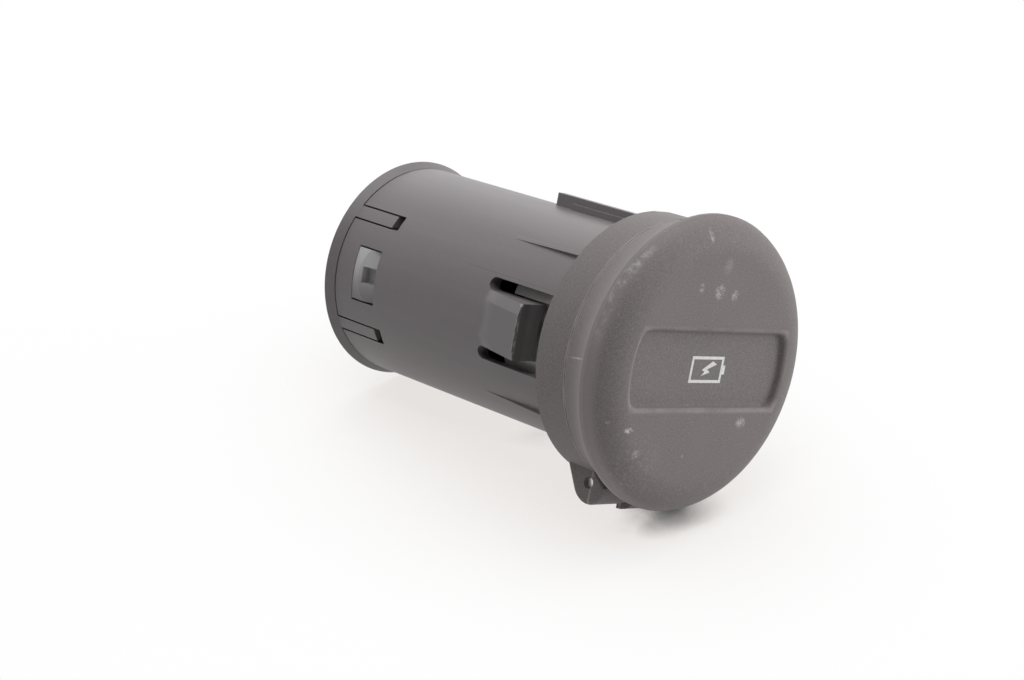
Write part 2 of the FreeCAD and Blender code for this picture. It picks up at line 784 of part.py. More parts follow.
# Hinge pin
pin_half = size("pin_half")
finish(rod("HingePin", "X", pin_r, -pin_half, pin_half, pin_y, pin_z), "hinge_pin")

# Port face: a disc with two port openings and a skirt, hollowed beside the tongues so that
# they can be pressed in

face_front = size("face_front")
face_back = face_front + size("face_thick")
skirt_r = bore_r - loose
skirt_wall = size("skirt_wall")
skirt_flat = size("skirt_flat")
skirt_rear = size("skirt_rear")


def tongue_spaces(name, flat, half):
    """The spaces beside the skirt on both sides, outside its flats."""
    spaces = [
        block(name + "Right", flat, through, face_back, skirt_rear + 2 * past, -half, half),
        block(name + "Left", -through, -flat, face_back, skirt_rear + 2 * past, -half, half),
    ]
    return join(name, spaces)


disc = rod("FaceDisc", "Y", skirt_r, face_front, face_back)
skirt_out = less(
    "SkirtOutside",
    rod("SkirtRound", "Y", skirt_r, face_back - bite, skirt_rear),
    tongue_spaces("TongueSpace", skirt_flat, gap_half),
)
skirt_in = less(
    "SkirtInside",
    rod("SkirtHollow", "Y", skirt_r - skirt_wall, face_back, skirt_rear + past),
    tongue_spaces("TongueWall", skirt_flat - skirt_wall, gap_half + skirt_wall),
)
shell_w = size("shell_w")
shell_h = size("shell_h")
shell_low = board_top
shell_high = board_top + shell_h
port_half = shell_w / 2 + loose
port_low = shell_low - loose
port_high = shell_high + loose
port_front = face_front - past
port_rear = face_back + past
openings = [
    block("PortUpper", -port_half, port_half, port_front, port_rear, port_low, port_high),
    block("PortLower", -port_half, port_half, port_front, port_rear, -port_high, -port_low),
]
face_full = join("FaceFull", [disc, skirt_out])
face_cut = join("FaceCut", [skirt_in] + openings)
finish(less("PortFace", face_full, face_cut), "socket_face")

# Ports: a folded steel shell, a moulded core with its tongue, and four contact strips,
# on both sides of the board

wall = size("shell_wall")
shell_front = size("shell_front")
shell_rear = size("shell_rear")
core_rear = shell_rear - wall
core_block = core_rear - size("core_back")
core_half = size("core_half")
for side, mark, node in ((1, "Upper", "upper"), (-1, "Lower", "lower")):

    def level(low, high):
        """A height range over the board, on this side of it."""
        if side > 0:
            return low, high
        return -dim(high), -dim(low)

    half = shell_w / 2
    inside = half - wall
    heights = level(shell_low, shell_high)
    tube = block("Shell" + mark, -half, half, shell_front, shell_rear, *heights)
    room = block(
        "ShellRoom" + mark,
        -inside,
        inside,
        shell_front - past,
        core_rear,
        *level(shell_low + wall, shell_high - wall),
    )
    finish(less("PortShell" + mark, tube, room), "usb_shell_" + node)
    tongue_top = shell_high - wall - size("core_gap")
    tongue_low = tongue_top - size("core_tongue")
    back = block(
        "CoreBack" + mark,
        slide - inside,
        inside - slide,
        core_block,
        core_rear,
        *level(shell_low + wall + slide, shell_high - wall - slide),
    )
    tongue = block(
        "CoreTongue" + mark,
        -core_half,
        core_half,
        size("core_front"),
        core_block + bite,
        *level(tongue_low, tongue_top),
    )
    finish(join("PortCore" + mark, [back, tongue]), "usb_insulator_" + node)
    strips = []
    strip_half = size("strip_half")
    far = size("strip_far")
    near = size("strip_near")
    for number, middle in enumerate((-far, -near, near, far), 1):
        strips.append(
            block(
                "Strip%s%d" % (mark, number),
                middle - strip_half,
                middle + strip_half,
                size("strip_front"),
                core_block,
                *level(tongue_low - size("strip_thick"), tongue_low),
            )
        )
    contacts = doc.addObject("Part::Compound", "Contacts" + mark)
    contacts.Links = strips
    finish(contacts, "usb_contacts_" + node)

# Board, narrow between the ports and wide between the barrel's rails

board = new_body("Board")
neck = skirt_flat - skirt_wall - size("neck_side")
shoulder = size("board_shoulder")
board_line = [
    (-neck, size("board_front")),
    (neck, size("board_front")),
    (neck, shoulder),
    (board_half, shoulder),
    (board_half, size("board_rear")),
    (-board_half, size("board_rear")),
    (-board_half, shoulder),
    (-neck, shoulder),
]
board_sketch = outline(board, "BoardLine", "XY_Plane", board_line)
pad(board, "BoardPad", board_sketch, size("board_thick"))
finish(board, "main_board")

# Pieces on the board

coil = new_body("Coil")
coil_half = size("coil_side") / 2
coil_cut = size("coil_edge")
coil_y = size("coil_y")
coil_line = [
    (coil_cut - coil_half, coil_y - coil_half),
    (coil_half - coil_cut, coil_y - coil_half),
    (coil_half, coil_y - coil_half + coil_cut),
    (coil_half, coil_y + coil_half - coil_cut),
    (coil_half - coil_cut, coil_y + coil_half),
    (coil_cut - coil_half, coil_y + coil_half),
    (-coil_half, coil_y + coil_half - coil_cut),
    (-coil_half, coil_y - coil_half + coil_cut),
]
coil_mid = board_top + size("coil_high") / 2
coil_sketch = outline(coil, "CoilLine", "XY_Plane", coil_line, offset=coil_mid)
pad(coil, "CoilPad", coil_sketch, size("coil_high"))
finish(coil, "inductor")

for mark, node in (("in", "input_capacitor"), ("out", "output_capacitor")):
    can = new_body("Can" + mark)
    can_r = size("can_%s_r" % mark)
    can_x = size("can_%s_x" % mark)
    can_y = size("can_%s_y" % mark)
    can_high = size("can_%s_high" % mark)
    can_line = [
        (can_x - can_r, can_y, can_x, can_y, 1),
        (can_x + can_r, can_y, can_x, can_y, 1),
    ]
    can_mid = board_top + can_high / 2
    can_sketch = outline(can, "CanLine" + mark, "XY_Plane", can_line, offset=can_mid)
    can_pad = pad(can, "CanPad" + mark, can_sketch, can_high)
    can_top = (board_top + can_high).number

    def on_can_top(edge, middle):
        """The edge round the top of the can."""
        return middle.z > can_top - NEAR

    rounded(can, "CanRound" + mark, can_pad, size("can_edge"), on_can_top)
    finish(can, node)


def chip(name, node, place, across, along, low, high):
    """A block package on the board."""
    x, y = place
    left = x - across / 2
    front = y - along / 2
    finish(block(name, left, left + across, front, front + along, low, high), node)


chip_at = (size("chip_x"), size("chip_y"))
chip_top = board_top + size("chip_high")
chip("Controller", "controller_chip", chip_at, size("chip_w"), size("chip_l"), board_top, chip_top)
port_chip_at = (dim(0), size("port_chip_y"))
port_side = size("port_chip_side")
port_chip_low = -board_top - size("port_chip_high")
chip("PortChip", "port_chip", port_chip_at, port_side, port_side, port_chip_low, -board_top)
diode_at = (size("diode_x"), size("diode_y"))
diode_top = board_top + size("diode_high")
chip("Diode", "protection_diode", diode_at, size("diode_w"), size("diode_l"), board_top, diode_top)

# Terminals, held in a header on the board and reaching through the rear cap

terminal_half = size("terminal_side") / 2
terminal_z = size("terminal_z")
pitch = size("terminal_pitch")
header_front = size("board_rear") - size("header_long")
header_rear = size("board_rear")
TERMINALS = 4
terminals = []
header_holes = []
cap_holes = []
for number in range(TERMINALS):
    middle = pitch * (number - (TERMINALS - 1) / 2)
    near = middle - terminal_half
    far = middle + terminal_half
    low = terminal_z - terminal_half
    high = terminal_z + terminal_half
    mark = str(number + 1)
    terminals.append(
        block("Terminal" + mark, near, far, size("terminal_front"), size("terminal_rear"), low, high)
    )
    header_holes.append(
        block("HeaderHole" + mark, near, far, header_front - past, header_rear + past, low, high)
    )
    cap_holes.append(
        block(
            "CapHole" + mark,
            near - loose,
            far + loose,
            size("latch_front") - past,
            size("plug_floor") + past,
            low - loose,
            high + loose,
        )
    )
pins = doc.addObject("Part::Compound", "Terminals")
pins.Links = terminals
finish(pins, "connector_pins")
header_half = size("header_half")
header_top = board_top + size("header_high")
header_bar = block(
    "HeaderBar",
    -header_half,
    header_half,
    header_front,
    header_rear,
    board_top,
    header_top,
)
finish(less("PinHeader", header_bar, join("HeaderHoles", header_holes)), "pin_header")

# Rear cap: a rim that widens to the rear, a spigot, four fingers in the barrel's notches,
# two latch arms whose lugs stand in the windows, and the connector mouth

cap = new_body("CapRim")
cap_r = size("cap_r")
cap_rear = size("cap_rear")
cap_edge = size("cap_edge")
rim_front = barrel_rear + size("rim_gap")
rim_bite = rim_front + bite
spigot_r = bore_r - loose
spigot_in = spigot_r - size("spigot_wall")
spigot_mid = spigot_r - size("spigot_wall") / 2
rim_line = [
    (rim_front, dim(0)),
    (cap_rear, dim(0)),
    (cap_rear, cap_r - cap_edge),
    (cap_rear - cap_edge, cap_r),
    (rim_front, barrel_r),
    (rim_front, spigot_r),
    (size("spigot_front"), spigot_r),
    (size("spigot_front"), spigot_in),
    (rim_front, spigot_in),
]
turned(cap, "CapTurn", outline(cap, "CapLine", "YZ_Plane", rim_line))

finger_front = size("finger_front")
finger_ring = less(
    "FingerRing",
    rod("FingerOut", "Y", barrel_r, finger_front, rim_bite),
    rod("FingerIn", "Y", spigot_mid, finger_front - past, rim_bite + past),
)
finger_low = size("notch_mid") - size("notch_half") + size("finger_side")
finger_high = size("notch_mid") + size("notch_half") - size("finger_side")
finger_bars = join(
    "FingerBars",
    [
        block("BarHigh", -through, through, finger_front, rim_bite, finger_low, finger_high),
        block("BarLow", -through, through, finger_front, rim_bite, -finger_high, -finger_low),
    ],
)
fingers = shared("Fingers", [finger_ring, finger_bars])

latch_half = window_half - size("latch_side")
latch_front = size("latch_front")
lug_rear = size("window_rear")
lug_front = size("window_front") + loose
arm_ring = less(
    "ArmRing",
    rod("ArmOut", "Y", spigot_r, latch_front, rim_bite),
    rod("ArmIn", "Y", spigot_in, latch_front - past, rim_bite + past),
)
arm_bar = block("ArmBar", -through, through, latch_front, rim_bite, -latch_half, latch_half)
arms = shared("LatchArms", [arm_ring, arm_bar])
lugs = []
lug_notches = []
notch_floor = size("latch_notch_floor")
notch_half = size("latch_notch_half")
notch_rear = size("latch_notch_rear")
notch_front = lug_front - past
for side, mark in SIDES:
    lug = new_body("Lug" + mark)
    lug_line = [
        (side * spigot_mid, lug_front),
        (side * (flush_r - size("latch_dip")), lug_front),
        (side * flush_r, lug_rear - size("latch_land")),
        (side * flush_r, lug_rear),
        (side * spigot_mid, lug_rear),
    ]
    pad(lug, "LugPad" + mark, outline(lug, "LugLine" + mark, "XY_Plane", lug_line), 2 * latch_half)
    lugs.append(lug)
    near = notch_floor if side > 0 else -through
    far = through if side > 0 else -notch_floor
    lug_notches.append(
        block("LugNotch" + mark, near, far, notch_front, notch_rear, -notch_half, notch_half)
    )
lug_limit = rod("LugLimit", "Y", flush_r, lug_front - past, lug_rear + past)
lug_round = shared("LugsRound", [join("Lugs", lugs), lug_limit])
lug_done = less("LugsNotched", lug_round, join("LugNotches", lug_notches))

plug_half = size("plug_half")
plug_low = size("plug_low")
plug_high = size("plug_high")
plug_wall = size("plug_wall")
shroud = block(
    "PlugShroud",
    -plug_half - plug_wall,
    plug_half + plug_wall,
    latch_front,
    rim_bite,
    plug_low - plug_wall,
    plug_high + plug_wall,
)
plug_floor = size("plug_floor")
plug_rear = cap_rear + past
plug_room = block("PlugRoom", -plug_half, plug_half, plug_floor, plug_rear, plug_low, plug_high)
cap_full = join("CapFull", [cap, fingers, arms, lug_done, shroud])
finish(less("RearCap", cap_full, join("CapCut", [plug_room] + cap_holes)), "rear_cap")

doc.recompute()

for thing in doc.Objects:
    for word in ("Invalid", "Error"):
        if word in thing.State:
            raise RuntimeError("%s (%s): %s" % (thing.Name, thing.Label, thing.State))
os.makedirs("parts", exist_ok=True)
for thing in finished:
    if thing.Shape.isNull() or not thing.Shape.isValid():
        raise RuntimeError("bad shape: " + thing.Label)
    thing.Shape.exportStep("parts/%s.step" % thing.Label)
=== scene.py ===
import math

import bmesh
import bpy
from mathutils import Matrix, Vector


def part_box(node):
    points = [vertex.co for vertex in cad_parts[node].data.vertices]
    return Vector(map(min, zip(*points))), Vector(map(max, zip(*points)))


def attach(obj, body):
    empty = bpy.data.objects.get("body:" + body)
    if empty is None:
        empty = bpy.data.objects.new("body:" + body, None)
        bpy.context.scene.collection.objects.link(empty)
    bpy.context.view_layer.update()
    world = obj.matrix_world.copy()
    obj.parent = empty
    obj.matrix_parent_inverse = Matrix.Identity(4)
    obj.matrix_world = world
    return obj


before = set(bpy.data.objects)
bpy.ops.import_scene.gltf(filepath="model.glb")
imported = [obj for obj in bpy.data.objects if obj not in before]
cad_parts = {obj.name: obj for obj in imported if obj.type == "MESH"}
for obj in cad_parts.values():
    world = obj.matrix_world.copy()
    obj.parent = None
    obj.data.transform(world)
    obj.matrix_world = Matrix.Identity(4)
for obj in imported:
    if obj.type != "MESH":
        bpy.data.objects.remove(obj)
bpy.context.view_layer.update()

bl_info = {
    "name": "Charging Socket Dresser",
    "version": (1, 0, 0),
    "blender": (4, 5, 0),
    "location": "View3D > Sidebar > Socket",
    "description": "Finishes a round charging socket: worn lid, moulded barrel, ports and stage",
    "category": "Object",
}

MM = 0.001
BLACK = (0.0, 0.0, 0.0, 1.0)
WHITE = (1.0, 1.0, 1.0, 1.0)

# Squeeze of a noise that gives streaks along the barrel
DRAWN = (1.0, 0.08, 1.0)

# Places on the lid, along the barrel's axis unless said: the face looks to -Y
SEAM_Y = -5.21 * MM
CREST_BACK_Y = -10.2 * MM
CREST_Y = -10.55 * MM
CREST_FRONT_Y = -10.7 * MM
DOME_Y = -11.9 * MM
LIP_Y = -13.05 * MM
RECESS_END_RADIUS = 13.95 * MM
RECESS_HALF_HEIGHT = 4.8 * MM

# Places on the barrel
BARB_FRONT_Y = 4.95 * MM
BARB_MIDDLE_Y = 9.5 * MM
BARB_ROOT_Y = 13.4 * MM
BARB_INNER_X = 14.3 * MM
BARB_OUTER_X = 15.2 * MM
BARB_EDGE_X = 16.05 * MM
BARB_HALF_HEIGHT = 3.7 * MM
LUG_Y = 37.3 * MM
LUG_HALF_LENGTH = 2.25 * MM
LUG_HALF_HEIGHT = 3.6 * MM
MOULD_LINE_SLOPE = math.tan(math.radians(23.6))
MOULD_LINE_END_Y = 21 * MM


class SocketFinish(bpy.types.PropertyGroup):
    """Colours, grain and wear of the visible plastics."""

    soft_colour: bpy.props.FloatVectorProperty(
        name="Soft plastic",
        description="Colour of the soft-touch lid and collar",
        subtype="COLOR",
        default=(0.174, 0.157, 0.155),
    )
    barrel_colour: bpy.props.FloatVectorProperty(
        name="Barrel plastic",
        description="Colour of the barrel and the rear cap",
        subtype="COLOR",
        default=(0.140, 0.125, 0.129),
    )
    # Painted light: the lugs take this pale colour in place of the light on their tilted faces
    lug_lit_colour: bpy.props.FloatVectorProperty(
        name="Latch lugs",
        description="Colour of the smooth lugs in the barrel's windows",
        subtype="COLOR",
        default=(0.46, 0.46, 0.465),
    )
    wear_colour: bpy.props.FloatVectorProperty(
        name="Scuffs",
        description="Colour of rubbed and chipped places",
        subtype="COLOR",
        default=(0.56, 0.56, 0.54),
    )
    scratch_colour: bpy.props.FloatVectorProperty(
        name="Scratch",
        description="Colour of the long scratch on the lid's flare",
        subtype="COLOR",
        default=(0.52, 0.45, 0.32),
    )
    print_colour: bpy.props.FloatVectorProperty(
        name="Printed symbol",
        description="Colour of the printed charging symbol",
        subtype="COLOR",
        default=(0.76, 0.76, 0.74),
    )
    soft_grain: bpy.props.FloatProperty(
        name="Soft grain",
        description="Size of one grain of the soft-touch surface",
        unit="LENGTH",
        default=0.19 * MM,
    )
    barrel_grain: bpy.props.FloatProperty(
        name="Barrel grain",
        description="Size of one grain of the barrel's surface",
        unit="LENGTH",
        default=0.16 * MM,
    )
    edge_round: bpy.props.FloatProperty(
        name="Edge rounding",
        description="Radius of the softened moulded edges",
        unit="LENGTH",
        default=0.12 * MM,
    )
    root_round: bpy.props.FloatProperty(
        name="Barb rounding",
        description="Radius of the soft change from each tongue to its barb",
        unit="LENGTH",
        default=1.2 * MM,
    )
    lip_round: bpy.props.FloatProperty(
        name="Recess rounding",
        description="Radius of the softened edges of the lid's finger recess",
        unit="LENGTH",
        default=0.9 * MM,
    )


class SocketSymbol(bpy.types.PropertyGroup):
    """Sizes of the printed charging symbol."""

    width: bpy.props.FloatProperty(
        name="Width",
        description="Width of the battery outline",
        unit="LENGTH",
        default=6.0 * MM,
    )
    height: bpy.props.FloatProperty(
        name="Height",
        description="Height of the battery outline",
        unit="LENGTH",
        default=3.38 * MM,
    )
    line: bpy.props.FloatProperty(
        name="Line",
        description="Width of the battery outline's line",
        unit="LENGTH",
        default=0.38 * MM,
    )
    nub: bpy.props.FloatProperty(
        name="Nub",
        description="Length of the battery's end nub",
        unit="LENGTH",
        default=0.43 * MM,
    )
    ink: bpy.props.FloatProperty(
        name="Ink",
        description="Thickness of the printed ink",
        unit="LENGTH",
        default=0.02 * MM,
    )
    across: bpy.props.FloatProperty(
        name="Across",
        description="Place of the symbol's middle to the right of the lid's middle",
        unit="LENGTH",
        default=0.15 * MM,
    )
    up: bpy.props.FloatProperty(
        name="Up",
        description="Place of the symbol's middle over the lid's middle",
        unit="LENGTH",
        default=-0.11 * MM,
    )


class SocketFittings(bpy.types.PropertyGroup):
    """Sizes of the small formed metal pieces inside."""

    lead_width: bpy.props.FloatProperty(
        name="Lead width",
        description="Width of each chip lead",
        unit="LENGTH",
        default=0.42 * MM,
    )
    lead_pitch: bpy.props.FloatProperty(
        name="Lead pitch",
        description="Distance between the chip leads",
        unit="LENGTH",
        default=1.27 * MM,
    )
    spring_width: bpy.props.FloatProperty(
        name="Spring width",
        description="Width of each plug spring in the ports",
        unit="LENGTH",
        default=1.9 * MM,
    )
    spring_reach: bpy.props.FloatProperty(
        name="Spring reach",
        description="How far each plug spring stands into its port",
        unit="LENGTH",
        default=0.42 * MM,
    )
    spring_spread: bpy.props.FloatProperty(
        name="Spring spread",
        description="Distance between the two plug springs of a port",
        unit="LENGTH",
        default=6.0 * MM,
    )


class SocketStage(bpy.types.PropertyGroup):
    """Camera, table and lamps."""

    azimuth: bpy.props.FloatProperty(
        name="Azimuth",
        description="Turn of the camera round the object, 0 looking along +Y",
        unit="ROTATION",
        default=math.radians(-44.98),
    )
    elevation: bpy.props.FloatProperty(
        name="Elevation",
        description="Height of the camera over the object's own horizon",
        unit="ROTATION",
        default=math.radians(9.24),
    )
    roll: bpy.props.FloatProperty(
        name="Roll",
        description="Tilt of the camera about its line of sight",
        unit="ROTATION",
        default=math.radians(10.58),
    )
    place: bpy.props.FloatVectorProperty(
        name="Place",
        description="Where the camera stands",
        subtype="TRANSLATION",
        unit="LENGTH",
        default=(-0.21085, -0.18914, 0.04368),
    )
    lens: bpy.props.FloatProperty(
        name="Lens",
        description="Focal length for a 36 mm wide sensor",
        subtype="DISTANCE_CAMERA",
        default=78.88,
    )
    table_pitch: bpy.props.FloatProperty(
        name="Table pitch",
        description="How steeply the camera looks down on the table",
        unit="ROTATION",
        default=math.radians(28.5),
    )
    table_colour: bpy.props.FloatVectorProperty(
        name="Table",
        description="Colour of the table",
        subtype="COLOR",
        default=(0.94, 0.93, 0.92),
    )
    shadow_colour: bpy.props.FloatVectorProperty(
        name="Shadow share",
        description="How much of the lamps' light on the table the camera sees",
        subtype="COLOR",
        default=(0.06, 0.067, 0.071),
    )
    shade_reach: bpy.props.FloatProperty(
        name="Shade reach",
        description="How far from the object its soft shade on the table reaches",
        unit="LENGTH",
        default=35 * MM,
    )
    shade_colour: bpy.props.FloatVectorProperty(
        name="Shade",
        description="Colour of the soft shade under the object",
        subtype="COLOR",
        default=(0.80, 0.765, 0.745),
    )
    shadow_reach: bpy.props.FloatProperty(
        name="Shadow reach",
        description="How far the dark line of contact spreads over the table",
        unit="LENGTH",
        default=5 * MM,
    )
    top_power: bpy.props.FloatProperty(
        name="Top lamp",
        description="Power of the large soft lamp overhead",
        unit="POWER",
        default=2.3,
    )
    back_power: bpy.props.FloatProperty(
        name="Back lamp",
        description="Power of the soft lamp behind the object",
        unit="POWER",
        default=0.40,
    )
    side_power: bpy.props.FloatProperty(
        name="Side lamp",
        description="Power of the low soft lamp at the right",
        unit="POWER",
        default=1.15,
    )
    left_power: bpy.props.FloatProperty(
        name="Left lamp",
        description="Power of the low soft lamp at the back left",
        unit="POWER",
        default=0.36,
    )
    room_light: bpy.props.FloatProperty(
        name="Room light",
        description="Strength of the even light from all round",
        default=0.05,
    )


class Finish:
    """One procedural material, with short calls that add and join its nodes."""

    def __init__(self, name):
        self.material = bpy.data.materials.new(name)
        self.material.use_nodes = True
        self.tree = self.material.node_tree
        self.shader = self.tree.nodes["Principled BSDF"]
        self.place = self.add("TexCoord").outputs["Object"]
        self.axes = self.add("SeparateXYZ", Vector=self.place).outputs

    def add(self, kind, options=None, **sockets):
        """Add a node, set its options, and fill or join its sockets."""
        item = self.tree.nodes.new("ShaderNode" + kind)
        for key, value in (options or {}).items():
            setattr(item, key, value)
        for key, value in sockets.items():
            self.feed(item.inputs[key.replace("_", " ")], value)
        return item

    def feed(self, socket, value):
        """Join an output to a socket, or set the socket's own value."""
        if isinstance(value, bpy.types.NodeSocket):
            self.tree.links.new(value, socket)
        else:
            socket.default_value = value

    def set(self, **sockets):
        """Fill or join the shader's own sockets."""
        for key, value in sockets.items():
            self.feed(self.shader.inputs[key.replace("_", " ")], value)

    def noise(self, grain, detail=2.0, roughness=0.5, stretch=None):
        """Noise with grains of the given size in metres, from 0 to 1."""
        place = self.place
        if stretch is not None:
            place = self.add("Mapping", Vector=place, Scale=stretch).outputs["Vector"]
        item = self.add("TexNoise", Vector=place, Scale=1 / grain)
        self.feed(item.inputs["Detail"], detail)
        self.feed(item.inputs["Roughness"], roughness)
        return item.outputs[0]

    def span(self, value, low, high, to_low=0.0, to_high=1.0):
        """A value's range turned into another, held at its ends and eased."""
        item = self.add("MapRange", {"interpolation_type": "SMOOTHSTEP"}, Value=value)
        limits = {"From Min": low, "From Max": high, "To Min": to_low, "To Max": to_high}
        for key, number in limits.items():
            item.inputs[key].default_value = number
        return item.outputs["Result"]

    def band(self, value, middle, half, soft):
        """1 within half a width of the middle, falling to 0 over the soft length."""
        away = self.math("ABSOLUTE", self.math("SUBTRACT", value, middle))
        return self.span(away, half + soft, half)

    def math(self, operation, first, second=0.0):
        """The result of one sum."""
        item = self.add("Math", {"operation": operation})
        self.feed(item.inputs[0], first)
        self.feed(item.inputs[1], second)
        return item.outputs[0]

    def product(self, *shares):
        """All the shares multiplied."""
        total = shares[0]
        for share in shares[1:]:
            total = self.math("MULTIPLY", total, share)
        return total

    def mix(self, share, first, second):
        """A colour between two, by a share from 0 to 1."""
        item = self.add("Mix", {"data_type": "RGBA"})
        self.feed(item.inputs["Factor"], share)
        self.feed(item.inputs[6], first)
        self.feed(item.inputs[7], second)
        return item.outputs[2]

    def spot(self, centre, reach, lean=(0.0, 0.0, 0.0)):
        """A soft oval mark: 1 at its centre, 0 past its reach along each axis, in millimetres."""
        move = self.add("VectorMath", {"operation": "SUBTRACT"})
        self.feed(move.inputs[0], self.place)
        move.inputs[1].default_value = Vector(centre) * MM
        spin = self.add("VectorRotate", {"rotation_type": "EULER_XYZ"}, Vector=move.outputs[0])
        spin.inputs["Rotation"].default_value = lean
        part = self.add("VectorMath", {"operation": "DIVIDE"})
        self.feed(part.inputs[0], spin.outputs[0])
        part.inputs[1].default_value = Vector(reach) * MM
        far = self.add("VectorMath", {"operation": "LENGTH"})
        self.feed(far.inputs[0], part.outputs[0])
        return self.span(far.outputs["Value"], 1.0, 0.25)

    def soft_edges(self, radius):
        """The surface's normal with its edges softened."""
        item = self.add("Bevel", {"samples": 4})
        self.feed(item.inputs["Radius"], radius)
        return item.outputs["Normal"]

    def bump(self, height, depth, strength, normal):
        """A normal from a height of 0 to 1, the depth in metres."""
        item = self.add("Bump", Height=height, Distance=depth, Strength=strength, Normal=normal)
        return item.outputs["Normal"]


def shade(colour, factor):
    """A colour made lighter or darker, as a shader socket takes it."""
    return (colour[0] * factor, colour[1] * factor, colour[2] * factor, 1.0)


def give(material, *names):
    """Put a material on CAD nodes."""
    for name in names:
        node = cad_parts[name]
        node.data.materials.clear()
        node.data.materials.append(material)


# Rubbed places on the lid: middle and reach along each axis in millimetres, and strength
LID_SCUFFS = (
    ((-3.9, -12.6, 16.8), (0.45, 1.6, 1.5), 0.55),
    ((-4.73, -13.3, 10.31), (0.6, 0.5, 0.8), 0.50),
    ((-1.27, -13.3, 9.93), (1.2, 0.5, 1.2), 0.75),
    ((-0.6, -13.3, 13.2), (1.2, 0.5, 1.5), 0.18),
    ((1.69, -13.3, 9.52), (0.8, 0.5, 0.9), 0.70),
    ((7.63, -13.3, -6.76), (1.2, 0.5, 0.95), 0.62),
    ((-12.82, -13.25, -7.58), (1.0, 0.9, 0.5), 1.0),
    ((-15.87, -12.45, -6.69), (0.36, 0.9, 0.36), 0.90),
    ((-10.74, -13.2, -10.62), (1.0, 0.9, 0.8), 0.45),
    ((-2.2, -13.3, -10.9), (0.3, 0.5, 0.35), 0.30),
)


